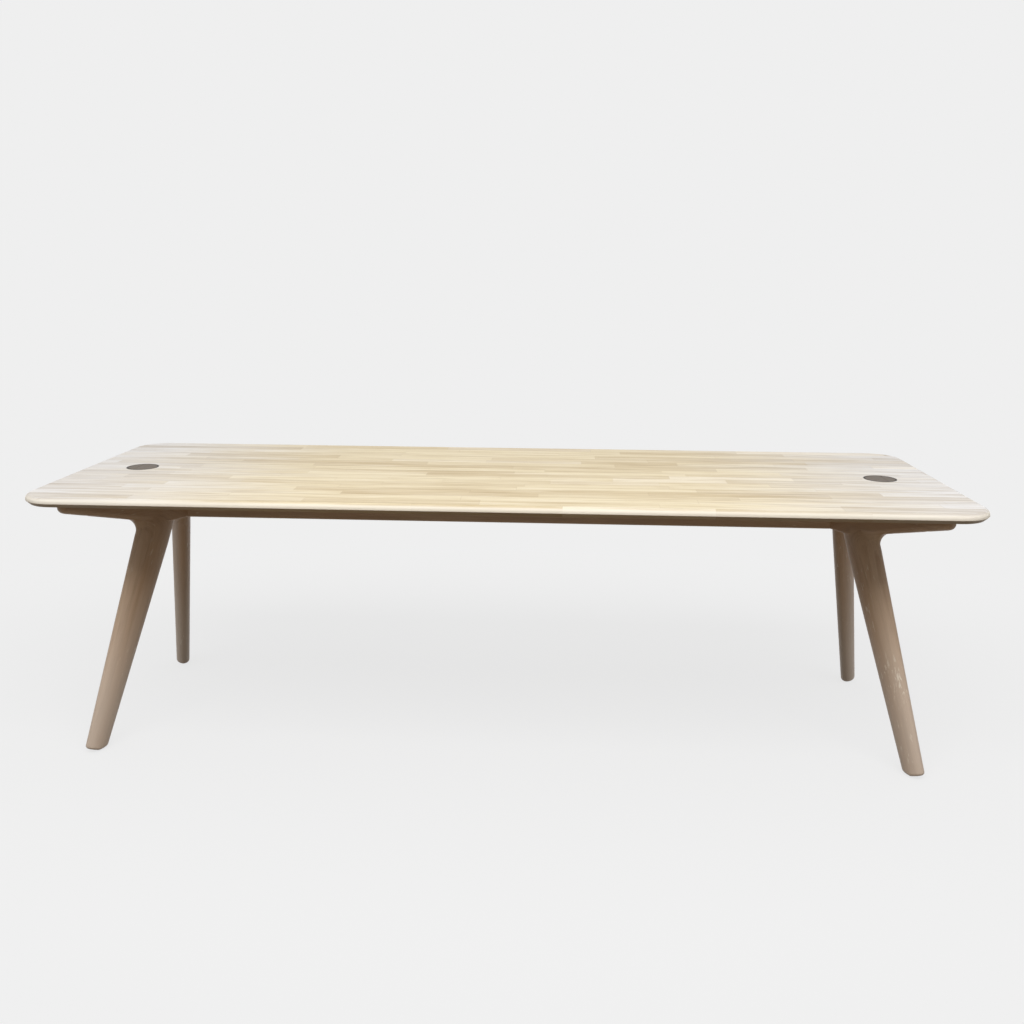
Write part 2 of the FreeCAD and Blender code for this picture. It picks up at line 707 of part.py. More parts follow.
def makePin(side, sign):
    body = outletBody("flap_pin", side, sign)
    sketch = newSketch(body, "XZ_Plane")
    drawCircle(sketch, d.flap_axis_reach, -d.knuckle_radius, d.pin_radius)
    padSketch(body, sketch, 2 * d.pin_half_length, symmetric=True)
    return body


# Bolts that hold the frame to the top, heads in the counterbores, ends in the threaded bushes
def makeTopBolts():
    body = newBody("top_bolts")
    under = d.bolt_seat_height - d.washer_thickness
    sketch = newSketch(body, "XY_Plane", (0, 0, under))
    for x, y in topBolts():
        drawCircle(sketch, x, y, d.bolt_radius)
    padSketch(body, sketch, d.clamp_depth + d.washer_thickness + d.insert_length - d.insert_end_gap)
    sketch = newSketch(body, "XY_Plane", (0, 0, under))
    for x, y in topBolts():
        drawCircle(sketch, x, y, d.bolt_head_radius)
    padSketch(body, sketch, d.bolt_head_height, reverse=True)
    sketch = newSketch(body, "XY_Plane", (0, 0, under - d.bolt_head_height))
    for x, y in topBolts():
        drawCircle(sketch, x, y, d.bolt_drive_radius)
    cutSketch(body, sketch, d.bolt_drive_depth)
    return body


def makeTopRings(label, level, outer, inner, length):
    body = newBody(label)
    sketch = newSketch(body, "XY_Plane", (0, 0, level))
    for x, y in topBolts():
        drawCircle(sketch, x, y, outer)
        drawCircle(sketch, x, y, inner)
    padSketch(body, sketch, length)
    return body


def makeTopWashers():
    level = d.bolt_seat_height - d.washer_thickness
    return makeTopRings("top_washers", level, d.washer_radius, d.bolt_hole_radius, d.washer_thickness)


# Threaded bushes let into the underside of the top
def makeTopInserts():
    thread = d.bolt_radius + d.thread_clearance
    return makeTopRings("top_inserts", d.frame_top, d.insert_radius, thread, d.insert_length)


# Bolts that pull each knee on to the end of the spine
def makeSpineBolts():
    body = newBody("spine_bolts")
    under = d.hub_reach + d.joint_bolt_seat + d.washer_thickness
    for radius, length, inward in (
        (d.bolt_radius, d.washer_thickness + d.joint_bolt_seat + d.joint_inset + d.joint_bolt_bite, True),
        (d.bolt_head_radius, d.bolt_head_height, False),
    ):
        for side, sign in sides:
            sketch = newSketch(body, "YZ_Plane", (0, 0, sign * under))
            for across in (-1, 1):
                drawCircle(sketch, across * d.joint_bolt_offset, d.joint_bolt_height, radius)
            padSketch(body, sketch, length, reverse=inward == (sign > 0))
    for side, sign in sides:
        sketch = newSketch(body, "YZ_Plane", (0, 0, sign * (under + d.bolt_head_height)))
        for across in (-1, 1):
            drawCircle(sketch, across * d.joint_bolt_offset, d.joint_bolt_height, d.bolt_drive_radius)
        cutSketch(body, sketch, d.bolt_drive_depth)
    return body


def makeSpineWashers():
    body = newBody("spine_washers")
    for side, sign in sides:
        sketch = newSketch(body, "YZ_Plane", (0, 0, sign * (d.hub_reach + d.joint_bolt_seat)))
        for across in (-1, 1):
            for radius in (d.washer_radius, d.bolt_hole_radius):
                drawCircle(sketch, across * d.joint_bolt_offset, d.joint_bolt_height, radius)
        padSketch(body, sketch, d.washer_thickness, reverse=sign < 0)
    return body


# Cross dowels in the spine, each with the threaded hole for its bolt
def makeBarrelNuts():
    body = newBody("barrel_nuts")
    sketch = newSketch(body, "XY_Plane", (0, 0, d.joint_bolt_height - d.barrel_length / 2))
    for side, sign in sides:
        for across in (-1, 1):
            drawCircle(sketch, sign * d.barrel_reach, across * d.joint_bolt_offset, d.barrel_radius)
    padSketch(body, sketch, d.barrel_length)
    sketch = newSketch(body, "YZ_Plane")
    for across in (-1, 1):
        place = across * d.joint_bolt_offset
        drawCircle(sketch, place, d.joint_bolt_height, d.bolt_radius + d.thread_clearance)
    cutSketch(body, sketch, symmetric=True)
    return body


# Timber dowels across the mitre between a front and a rear knee
def makeDowels():
    body = newBody("mitre_dowels")
    sketch = newSketch(body, "XZ_Plane")
    for side, sign in sides:
        for drop in (d.dowel_upper_drop, d.dowel_lower_drop):
            drawCircle(sketch, sign * (d.hub_reach + d.dowel_out), d.frame_top - drop, d.dowel_radius)
    padSketch(body, sketch, d.dowel_length, symmetric=True)
    return body


bodies = [makeTop(), makeSpine()]
for corner in corners:
    bodies += [makeKnee(*corner), makeLeg(*corner), makeGlide(*corner)]
for side in sides:
    bodies += [makeSleeve(*side), makeLid(*side), makeFlap(*side), makePin(*side)]
bodies += [
    makeTopBolts(),
    makeTopWashers(),
    makeTopInserts(),
    makeSpineBolts(),
    makeSpineWashers(),
    makeBarrelNuts(),
    makeDowels(),
]
doc.recompute()

for thing in doc.Objects:
    if "Invalid" in thing.State or "Error" in thing.State:
        raise RuntimeError("%s is %s" % (thing.Label, thing.State))
for body in bodies:
    if body.Shape.isNull() or not body.Shape.isValid():
        raise RuntimeError("%s has no valid shape" % body.Label)
    body.Shape.exportStep("parts/%s.step" % body.Label)
    print(body.Label, len(body.Shape.Solids), round(body.Shape.Volume))
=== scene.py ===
import math

import bpy
import numpy as np
from mathutils import Matrix, Vector


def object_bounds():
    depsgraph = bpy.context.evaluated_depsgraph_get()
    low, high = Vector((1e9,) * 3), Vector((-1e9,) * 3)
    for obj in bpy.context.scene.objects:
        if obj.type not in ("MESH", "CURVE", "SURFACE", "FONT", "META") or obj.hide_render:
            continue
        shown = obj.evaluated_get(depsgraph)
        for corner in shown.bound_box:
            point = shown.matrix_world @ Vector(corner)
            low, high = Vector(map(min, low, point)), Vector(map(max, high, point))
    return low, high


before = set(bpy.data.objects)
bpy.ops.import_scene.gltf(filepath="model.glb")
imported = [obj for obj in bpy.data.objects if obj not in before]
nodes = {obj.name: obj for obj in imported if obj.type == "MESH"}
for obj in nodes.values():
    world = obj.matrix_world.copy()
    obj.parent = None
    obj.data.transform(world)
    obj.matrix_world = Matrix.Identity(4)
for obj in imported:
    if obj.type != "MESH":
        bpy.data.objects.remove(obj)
cadBox = [list(corner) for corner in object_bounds()]
corners = {
    "front_left": (-1, -1),
    "front_right": (1, -1),
    "rear_left": (-1, 1),
    "rear_right": (1, 1),
}
sides = ("left", "right")
mmPerMetre = 1000
noiseSpan = (0.3, 0.7)  # nearly all of a noise lies between these
timberIor = 1.45
print("frame loaded:", len(nodes), "nodes")


# Colour as written in a paint chart, to the linear value the shaders take
def linear(code):
    parts = [int(code[i:i + 2], 16) / 255 for i in (1, 3, 5)]
    return [p / 12.92 if p <= 0.04045 else ((p + 0.055) / 1.055) ** 2.4 for p in parts] + [1]


# One shader node: settings go to its properties, or to its sockets by name or number
def addNode(tree, kind, settings=None, links=None):
    node = tree.nodes.new("ShaderNode" + kind)
    for key, value in (settings or {}).items():
        if isinstance(key, str) and hasattr(node, key):
            setattr(node, key, value)
    for key, value in (settings or {}).items():
        if isinstance(key, int) or not hasattr(node, key):
            node.inputs[key].default_value = value
    for key, source in (links or {}).items():
        tree.links.new(source, node.inputs[key])
    return node


def newMaterial(name):
    material = bpy.data.materials.new(name)
    material.use_nodes = True
    tree = material.node_tree
    tree.nodes.clear()
    shader = addNode(tree, "BsdfPrincipled")
    addNode(tree, "OutputMaterial", {}, {0: shader.outputs[0]})
    return material, tree, shader


# Patterns of a finish: millimetres along and across the grain, detail, roughness and warp of each
def layPatterns(tree, vector, sizes):
    patterns = {}
    for name, (longMm, wideMm, detail, rough, warp) in sizes.items():
        along = mmPerMetre / longMm
        across = mmPerMetre / wideMm
        scaled = addNode(tree, "Mapping", {"Scale": (along, across, across)}, {"Vector": vector})
        noise = addNode(tree, "TexNoise", {
            "Scale": 1, "Detail": detail, "Roughness": rough, "Distortion": warp,
        }, {"Vector": scaled.outputs[0]})
        patterns[name] = noise.outputs[0]
    return patterns


# Colours laid over a tone: each comes in as its pattern runs from start to full, up to its share
def layTones(tree, tone, layers, patterns, colours, bend="LINEAR"):
    for pattern, start, full, share, colour, mode in layers:
        amount = addNode(tree, "MapRange", {
            "interpolation_type": bend, "From Min": start, "From Max": full, "To Max": share,
        }, {"Value": patterns[pattern]})
        mixed = addNode(tree, "Mix", {
            "data_type": "RGBA", "blend_type": mode, 7: linear(colours[colour]),
        }, {0: amount.outputs[0]})
        if isinstance(tone, list):
            mixed.inputs[6].default_value = tone  # the first layer lies on a plain colour
        else:
            tree.links.new(tone, mixed.inputs[6])
        tone = mixed.outputs[2]
    return tone


# The end of each material: its tone, a roughness that follows a pattern, and a fine relief
def finishLook(tree, shader, tone, pattern, rough, relief, depth):
    tree.links.new(tone, shader.inputs["Base Color"])
    dulled = addNode(tree, "MapRange", {
        "From Min": noiseSpan[0], "From Max": noiseSpan[1], "To Min": rough[0], "To Max": rough[1],
    }, {"Value": pattern})
    tree.links.new(dulled.outputs[0], shader.inputs["Roughness"])
    bump = addNode(tree, "Bump", {"Strength": 1, "Distance": depth}, {"Height": relief})
    tree.links.new(bump.outputs[0], shader.inputs["Normal"])


def dress(names, material):
    for name in names:
        piece = nodes[name]
        piece.data.materials.clear()
        piece.data.materials.append(material)


# Timber top: ash staves glued side by side and soaped, so it shows as pale stripes of near tones
topTimber = {
    "height": cadBox[1][2],
    "arrisDrop": 0.015,
    "staveWide": 0.040,
    "staveShort": 0.28,
    "staveMore": 0.34,
    "staveSlide": 3.0,
    "wander": 0.9,
    "wanderMm": 111.1,
    "logShift": (11, 7, 5),
    "mid": "#e4d6b6",
    "end": "#e2e0df",
    "bright": "#f2e9d8",
    "shade": "#cdbea6",
    "vein": "#b9a27b",
    "line": "#8f7855",
    # painted highlight on the round edge of the top
    "edgeHighlight": "#fbf3e4",
    # painted shade on the bevel and the underside of the top
    "underShade": "#b39a76",
    "grain": {
        "streak": (420, 9, 5, 0.6, 0.4),
        "vein": (260, 3.2, 3, 0.6, 0.3),
        "fibre": (60, 1.1, 3, 0.6, 0),  # coarser than real fibres, so that they show
        "cloud": (900, 70, 2, 0.5, 0),
    },
    "overStaves": {"band": (270, 17, 3, 0.6, 0.3)},  # runs on from stave to stave
    "endwardCloud": 0.5,
    "endwardTone": [("faded", 0.42, 1.22, 1, "end", "MIX")],
    "layers": [
        ("dark stave", 0.30, 1.00, 0.50, "shade", "MULTIPLY"),
        ("light stave", 0.84, 0.95, 0.45, "bright", "MIX"),
        ("band", 0.49, 0.72, 0.52, "shade", "MULTIPLY"),
        ("band", 0.46, 0.28, 0.40, "bright", "MIX"),
        ("streak", 0.52, 0.76, 0.58, "shade", "MULTIPLY"),
        ("vein", 0.55, 0.76, 0.50, "vein", "MULTIPLY"),
        ("vein", 0.42, 0.28, 0.45, "bright", "MIX"),
        ("fibre", 0.52, 0.80, 0.35, "vein", "MULTIPLY"),
    ],
    "rowGlue": (0.488, 0.497, 0.35),  # start and full, in staves from the middle, and share
    "endGlue": (0.4985, 0.4995, 0.25),
    "glueDip": 0.5,
    # depths where the painted highlight on the round edge starts, is full and ends
    "edgeHighlightStart": 0.0015,
    "edgeHighlightFull": 0.006,
    "edgeHighlightShare": 0.75,
    "edgeHighlightEnd": 0.001,
    # where the painted shade below the arris begins and is full, and its share
    "underShadeAbove": 0.0006,
    "underShadeBelow": 0.0004,
    "underShadeShare": 0.78,
    "rough": (0.45, 0.58),
    "shine": 0.28,
    "relief": 0.00012,
}


# Which stave a point lies in: its place counted in rows across and in lengths along the row
def layStaves(tree, along, across, kept):
    wander = addNode(tree, "TexNoise", {
        "noise_dimensions": "1D", "Scale": mmPerMetre / kept["wanderMm"], "Detail": 1,
    }, {"W": across})
    evenRow = addNode(tree, "Math", {"operation": "DIVIDE", 1: kept["staveWide"]}, {0: across})
    rowPlace = addNode(tree, "Math", {"operation": "MULTIPLY_ADD", 1: kept["wander"]},
                       {0: wander.outputs[0], 2: evenRow.outputs[0]}).outputs[0]
    row = addNode(tree, "Math", {"operation": "FLOOR"}, {0: rowPlace}).outputs[0]
    rowToss = addNode(tree, "TexWhiteNoise", {"noise_dimensions": "1D"}, {"W": row})
    rowApart = addNode(tree, "SeparateColor", {}, {"Color": rowToss.outputs[1]})
    length = addNode(tree, "Math", {
        "operation": "MULTIPLY_ADD", 1: kept["staveMore"], 2: kept["staveShort"],
    }, {0: rowApart.outputs[0]})
    slid = addNode(tree, "Math", {"operation": "MULTIPLY_ADD", 1: kept["staveSlide"]},
                   {0: rowApart.outputs[1], 2: along})
    lengthPlace = addNode(tree, "Math", {"operation": "DIVIDE"},
                          {0: slid.outputs[0], 1: length.outputs[0]}).outputs[0]
    block = addNode(tree, "Math", {"operation": "FLOOR"}, {0: lengthPlace}).outputs[0]
    pair = addNode(tree, "CombineXYZ", {}, {"X": row, "Y": block})
    toss = addNode(tree, "TexWhiteNoise", {"noise_dimensions": "2D"}, {"Vector": pair.outputs[0]})
    return rowPlace, lengthPlace, toss.outputs[1]


# Glue lines between rows and at the butt ends
def layGlue(tree, rowPlace, lengthPlace, kept):
    lines = []
    for place, (start, full, share) in ((rowPlace, kept["rowGlue"]), (lengthPlace, kept["endGlue"])):
        inside = addNode(tree, "Math", {"operation": "FRACT"}, {0: place})
        offCentre = addNode(tree, "Math", {"operation": "SUBTRACT", 1: 0.5}, {0: inside.outputs[0]})
        edge = addNode(tree, "Math", {"operation": "ABSOLUTE"}, {0: offCentre.outputs[0]})
        line = addNode(tree, "MapRange", {"From Min": start, "From Max": full, "To Max": share},
                       {"Value": edge.outputs[0]})
        lines.append(line.outputs[0])
    return addNode(tree, "Math", {"operation": "MAXIMUM"}, {0: lines[0], 1: lines[1]}).outputs[0]


def makeTopTimber(kept):
    material, tree, shader = newMaterial("ash staves glued and soaped")
    place = addNode(tree, "TexCoord").outputs["Object"]
    along, across, height = addNode(tree, "SeparateXYZ", {}, {"Vector": place}).outputs
    rowPlace, lengthPlace, toss = layStaves(tree, along, across, kept)
    tossApart = addNode(tree, "SeparateColor", {}, {"Color": toss})
    # Each stave is cut from another part of the log
    cut = addNode(tree, "VectorMath", {"operation": "MULTIPLY_ADD", 1: kept["logShift"]},
                  {0: toss, 2: place})
    patterns = layPatterns(tree, cut.outputs[0], kept["grain"])
    patterns.update(layPatterns(tree, place, kept["overStaves"]))
    patterns["dark stave"] = tossApart.outputs[0]
    patterns["light stave"] = tossApart.outputs[1]
    # Towards the ends the top is painted greyer and paler than the middle, along an uneven cloud
    uneven = addNode(tree, "Math", {"operation": "SUBTRACT", 1: 0.5}, {0: patterns["cloud"]})
    fromMiddle = addNode(tree, "Math", {"operation": "ABSOLUTE"}, {0: along})
    faded = addNode(tree, "Math", {"operation": "MULTIPLY_ADD", 1: kept["endwardCloud"]},
                    {0: uneven.outputs[0], 2: fromMiddle.outputs[0]})
    patterns["faded"] = faded.outputs[0]
    tone = layTones(tree, linear(kept["mid"]), kept["endwardTone"], patterns, kept, "SMOOTHSTEP")
    tone = layTones(tree, tone, kept["layers"], patterns, kept)
    glue = layGlue(tree, rowPlace, lengthPlace, kept)
    patterns["glue"] = glue
    tone = layTones(tree, tone, [("glue", 0, 1, 1, "line", "MIX")], patterns, kept)
    # Painted highlight: the round edge is painted paler, down to the arris, as light catches it there
    arris = kept["height"] - kept["arrisDrop"]
    onRound = addNode(tree, "MapRange", {
        "From Min": kept["height"] - kept["edgeHighlightStart"], "From Max": kept["height"] - kept["edgeHighlightFull"],
        "To Max": kept["edgeHighlightShare"],
    }, {"Value": height})
    overArris = addNode(tree, "MapRange", {
        "From Min": arris, "From Max": arris - kept["edgeHighlightEnd"], "To Min": 1, "To Max": 0,
    }, {"Value": height})
    edgeHighlight = addNode(tree, "Math", {"operation": "MULTIPLY"},
                     {0: onRound.outputs[0], 1: overArris.outputs[0]})
    patterns["edgeHighlight"] = edgeHighlight.outputs[0]
    patterns["height"] = height
    # Painted shade: the bevel and the underside are painted a darker brown, as they face down into shade
    underShadeStart = arris + kept["underShadeAbove"]
    underShadeFull = arris - kept["underShadeBelow"]
    tone = layTones(tree, tone, [
        ("edgeHighlight", 0, 1, 1, "edgeHighlight", "MIX"),
        ("height", underShadeStart, underShadeFull, kept["underShadeShare"], "underShade", "MULTIPLY"),
    ], patterns, kept)
    shader.inputs["IOR"].default_value = timberIor
    shader.inputs["Specular IOR Level"].default_value = kept["shine"]
    dip = addNode(tree, "Math", {"operation": "MULTIPLY", 1: kept["glueDip"]}, {0: glue})
    relief = addNode(tree, "Math", {"operation": "SUBTRACT"}, {0: patterns["fibre"], 1: dip.outputs[0]})
    finishLook(tree, shader, tone, patterns["fibre"], kept["rough"], relief.outputs[0], kept["relief"])
    return material


# Frame timber: ash shaped with a spokeshave and oiled, with long brown streaks along each limb; all its
# tones are painted darker than the top's as painted shade, since the frame stands in the shade under the top
frameTimber = {
    # tones painted darker than the top's, as painted shade under the top
    "pale": "#cbb095",
    "mid": "#bb9a7a",
    "deep": "#927051",
    "ringMm": 6.5,
    "ringWander": 3.0,
    "ringFade": 2.0,
    "heart": (0.055, 0.035),
    "grain": {
        "streak": (320, 14, 5, 0.6, 0.5),
        "fibre": (45, 1.0, 3, 0.6, 0),  # coarser than real fibres, so that they show
        "cloud": (700, 60, 2, 0.5, 0),
    },
    "layers": [
        ("cloud", 0.35, 0.65, 1, "pale", "MIX"),
        ("ring", 0, 1, 0.13, "deep", "MIX"),
        ("streak", 0.48, 0.75, 0.55, "deep", "MIX"),
        ("fibre", 0.52, 0.80, 0.40, "deep", "MIX"),
    ],
    "rough": (0.40, 0.54),
    "shine": 0.62,
    "ringRelief": 0.3,
    "relief": 0.00012,
}

# Look of the limbs: painted paler towards the floor, as painted light on the lower legs below the top's
# shade, and scuffed by chairs
limbLightAndWear = {
    # painted light: the paler tone of the lower legs
    "footLightTone": "#d0c2b5",
    "scuff": "#ece2d2",
    "footLightRamp": [("rise", 0.54, 0.06, 0.62, "footLightTone", "MIX")],
    "grain": {
        "knock": (34, 7, 2, 0.5, 0),
        "zone": (160, 60, 1, 0.5, 0),
        "chip": (24, 6, 3, 0.6, 0.6),
    },
    "knock": (0.64, 0.70, 0.5),
    "zone": (0.53, 0.60, 1),
    "chip": (0.58, 0.65, 0.75),
    "knockPlace": (1.054, -0.252, 0.25),
    "knockNear": 0.03,
    "knockReach": 0.09,
}

# Dowels: plain beech rod, so pale and even
dowelTimber = {
    **frameTimber,
    "pale": "#e2cda9",
    "mid": "#d4ba90",
    "deep": "#b08f62",
    "ringMm": 3,
    "rough": (0.54, 0.68),
    "shine": 0.50,
}


# Stray scuffs here and there, and a group of them where a chair has knocked one leg
def lightAndWearTimber(tree, tone, vector, kept):
    place = addNode(tree, "TexCoord").outputs["Object"]
    rise = addNode(tree, "SeparateXYZ", {}, {"Vector": place}).outputs["Z"]
    # Painted light: the limbs are painted paler towards the floor, where light reaches them below the top
    tone = layTones(tree, tone, kept["footLightRamp"], {"rise": rise}, kept, "SMOOTHSTEP")
    marks = {}
    for name, pattern in layPatterns(tree, vector, kept["grain"]).items():
        start, full, share = kept[name]
        mark = addNode(tree, "MapRange", {"From Min": start, "From Max": full, "To Max": share},
                       {"Value": pattern})
        marks[name] = mark.outputs[0]
    away = addNode(tree, "VectorMath", {"operation": "DISTANCE", 1: kept["knockPlace"]}, {0: place})
    near = addNode(tree, "MapRange", {
        "From Min": kept["knockNear"], "From Max": kept["knockReach"], "To Min": 1, "To Max": 0,
    }, {"Value": away.outputs["Value"]})
    stray = addNode(tree, "Math", {"operation": "MULTIPLY"}, {0: marks["knock"], 1: marks["zone"]})
    group = addNode(tree, "Math", {"operation": "MULTIPLY"}, {0: marks["chip"], 1: near.outputs[0]})
    scuffed = addNode(tree, "Math", {"operation": "MAXIMUM"}, {0: stray.outputs[0], 1: group.outputs[0]})
    layer = [("scuffed", 0, 1, 1, "scuff", "MIX")]
    return layTones(tree, tone, layer, {"scuffed": scuffed.outputs[0]}, kept)


def makeFrameTimber(kept, name, lightAndWear=None):
    material, tree, shader = newMaterial(name)
    vector = addNode(tree, "Attribute", {"attribute_name": "grain"}).outputs["Vector"]
    patterns = layPatterns(tree, vector, kept["grain"])
    # Growth rings about a heart that lies outside the limb
    apart = addNode(tree, "SeparateXYZ", {}, {"Vector": vector})
    offset = addNode(tree, "VectorMath", {"operation": "ADD", 1: (*kept["heart"], 0)}, {
        0: addNode(tree, "CombineXYZ", {}, {"X": apart.outputs[1], "Y": apart.outputs[2]}).outputs[0]})
    reach = addNode(tree, "VectorMath", {"operation": "LENGTH"}, {0: offset.outputs[0]}).outputs["Value"]
    evenRing = addNode(tree, "Math", {"operation": "DIVIDE", 1: kept["ringMm"] / mmPerMetre}, {0: reach})
    turns = addNode(tree, "Math", {"operation": "MULTIPLY_ADD", 1: kept["ringWander"]},
                    {0: patterns["cloud"], 2: evenRing.outputs[0]})
    inRing = addNode(tree, "Math", {"operation": "FRACT"}, {0: turns.outputs[0]})
    ring = addNode(tree, "Math", {"operation": "POWER", 1: kept["ringFade"]}, {0: inRing.outputs[0]})
    patterns["ring"] = ring.outputs[0]
    tone = layTones(tree, linear(kept["mid"]), kept["layers"], patterns, kept)
    if lightAndWear:
        tone = lightAndWearTimber(tree, tone, vector, lightAndWear)
    shader.inputs["IOR"].default_value = timberIor
    shader.inputs["Specular IOR Level"].default_value = kept["shine"]
    relief = addNode(tree, "Math", {"operation": "MULTIPLY_ADD", 1: kept["ringRelief"]},
                     {0: patterns["ring"], 2: patterns["fibre"]})
    finishLook(tree, shader, tone, patterns["fibre"], kept["rough"], relief.outputs[0], kept["relief"])
    return material


# Outlet plastic: moulded in a spark-eroded tool, so it takes a soft grey sheen at a low angle
outletPlastic = {
    "body": "#4e4031",
    "worn": "#675944",
    "grain": {
        "spark": (0.9, 0.9, 2, 0.5, 0),  # coarser than the real grain, so that it shows
        "haze": (14, 14, 3, 0.6, 0),
    },
    "layers": [("haze", 0.4, 0.7, 0.6, "worn", "MIX")],
    "rough": (0.37, 0.50),
    "shine": 0.42,
    "relief": 0.00006,
}

# Sleeves: the same moulding, painted darker as painted shade, since they lie out of the light in the holes
shadedSleevePlastic = {**outletPlastic, "body": "#2a251f", "worn": "#373027", "rough": (0.43, 0.56), "shine": 0.2}

# Foot glides: moulded polythene, matt and dark, scratched by the floor
glidePlastic = {
    **outletPlastic,
    "body": "#2b2723",
    "worn": "#4a443c",
    "grain": {**outletPlastic["grain"], "spark": (1.4, 1.4, 2, 0.5, 0)},
    "rough": (0.50, 0.63),
    "shine": 0.4,
}


def makePlastic(kept, name):
    material, tree, shader = newMaterial(name)
    place = addNode(tree, "TexCoord").outputs["Object"]
    patterns = layPatterns(tree, place, kept["grain"])
    tone = layTones(tree, linear(kept["body"]), kept["layers"], patterns, kept)
    shader.inputs["Specular IOR Level"].default_value = kept["shine"]
    finishLook(tree, shader, tone, patterns["haze"], kept["rough"], patterns["spark"], kept["relief"])
    return material


# Fasteners: zinc plated steel, so bright grey with a fine turned lay and dull patches
zincSteel = {
    "body": "#b4b7b9",
    "dull": "#8f9396",
    "grain": {
        "lay": (12, 0.35, 2, 0.5, 0),  # coarser than the real lay, so that it shows
        "patch": (5, 5, 3, 0.6, 0),
    },
    "layers": [("patch", 0.45, 0.7, 1, "dull", "MIX")],
    "rough": (0.34, 0.49),
    "relief": 0.00003,
}

# Bushes: turned brass, yellow and a little brighter
bushBrass = {**zincSteel, "body": "#c2a05c", "dull": "#9c7d42", "rough": (0.30, 0.45)}


def makeMetal(kept, name):
    material, tree, shader = newMaterial(name)
    place = addNode(tree, "TexCoord").outputs["Object"]
    patterns = layPatterns(tree, place, kept["grain"])
    tone = layTones(tree, linear(kept["body"]), kept["layers"], patterns, kept)
    shader.inputs["Metallic"].default_value = 1
    finishLook(tree, shader, tone, patterns["patch"], kept["rough"], patterns["lay"], kept["relief"])
    return material


limbNames = ["spine_beam"] + [kind + corner for kind in ("knee_", "leg_") for corner in corners]
lidNames = [kind + side for kind in ("outlet_lid_", "outlet_flap_") for side in sides]
sleeveNames = ["outlet_sleeve_" + side for side in sides]
glideNames = ["glide_" + corner for corner in corners]
steelNames = ["flap_pin_" + side for side in sides]
steelNames += ["top_bolts", "top_washers", "spine_bolts", "spine_washers", "barrel_nuts"]
dress(["table_top"], makeTopTimber(topTimber))
dress(limbNames, makeFrameTimber(frameTimber, "ash shaped and oiled in painted shade", limbLightAndWear))
dress(["mitre_dowels"], makeFrameTimber(dowelTimber, "beech dowel rod"))
dress(lidNames, makePlastic(outletPlastic, "moulded outlet plastic"))
dress(sleeveNames, makePlastic(shadedSleevePlastic, "moulded sleeve plastic in painted shade"))
dress(glideNames, makePlastic(glidePlastic, "matt glide polythene"))
dress(steelNames, makeMetal(zincSteel, "zinc plated steel"))
dress(["top_inserts"], makeMetal(bushBrass, "turned brass"))
print("materials made")

# Grain of the limbs: up each leg, bending over into the arm, and along the spine
limbGrain = {
    "hub": 0.922,
    "armAngle": math.radians(60),
    "headReach": 0.103,
    "frameLow": 0.590,
    "footReach": 0.3583,
    "bendLow": 0.53,
    "bendHigh": 0.66,
    "logStep": 3.1,
    "spineStep": 17.0,
}


def pointsOf(piece):
    flat = np.zeros(len(piece.data.vertices) * 3, np.float32)
    piece.data.vertices.foreach_get("co", flat)
    return flat.reshape(-1, 3).astype(float)


# Vertex record of where each point lies in the log: along the grain first, then across it
def writeGrain(piece, points):
    held = piece.data.attributes.new("grain", "FLOAT_VECTOR", "POINT")
    held.data.foreach_set("vector", np.asarray(points, np.float32).ravel())


def layLimbGrain(kept):
    for index, (corner, (lengthways, crossways)) in enumerate(corners.items()):
        hub = Vector((lengthways * kept["hub"], 0, 0))
        out = Vector((lengthways * math.cos(kept["armAngle"]), crossways * math.sin(kept["armAngle"]), 0))
        foot = hub + out * kept["footReach"]
        head = hub + out * kept["headReach"] + Vector((0, 0, kept["frameLow"]))
        rise = (head - foot).normalized()
        side = Vector((-out.y, out.x, 0))
        legAxes = np.array([rise, side, rise.cross(side)])
        armAxes = np.array([-out, side, Vector((0, 0, 1))])
        shift = np.array([kept["logStep"] * index, 0, 0])
        for kind in ("leg_", "knee_"):
            piece = nodes[kind + corner]
            points = pointsOf(piece)
            legPoints = (points - np.array(foot)) @ legAxes.T
            armPoints = (points - np.array(head)) @ armAxes.T
            armPoints[:, 0] += (head - foot).length
            bend = np.clip((points[:, 2] - kept["bendLow"]) / (kept["bendHigh"] - kept["bendLow"]), 0, 1)
            bend = (bend * bend * (3 - 2 * bend))[:, None]  # eased at both ends
            writeGrain(piece, legPoints * (1 - bend) + armPoints * bend + shift)
    for name in ("spine_beam", "mitre_dowels"):
        writeGrain(nodes[name], pointsOf(nodes[name]) + np.array([kept["spineStep"], 0, 0]))


layLimbGrain(limbGrain)
print("grain laid")


# Rays that show a surface, as against those that only carry its light
def showingRays(tree):
    path = addNode(tree, "LightPath")
    mirrored = addNode(tree, "Math", {"operation": "MAXIMUM"},
                       {0: path.outputs["Is Glossy Ray"], 1: path.outputs["Is Transmission Ray"]})
    return addNode(tree, "Math", {"operation": "MAXIMUM"},
                   {0: path.outputs["Is Camera Ray"], 1: mirrored.outputs[0]}).outputs[0]


# Floor: shows as an even pale ground with a faint shadow, and throws back little light, as a dark yard
groundColour = "#efefef"
floorLook = {
    "yard": "#6f6149",
    "even": 0.86,
    "shaded": 0.12,
    "reach": (1.9, 1.0),
    "near": 0.85,
    "far": 1.7,
    "size": 60,
    "drop": 0.0002,
}


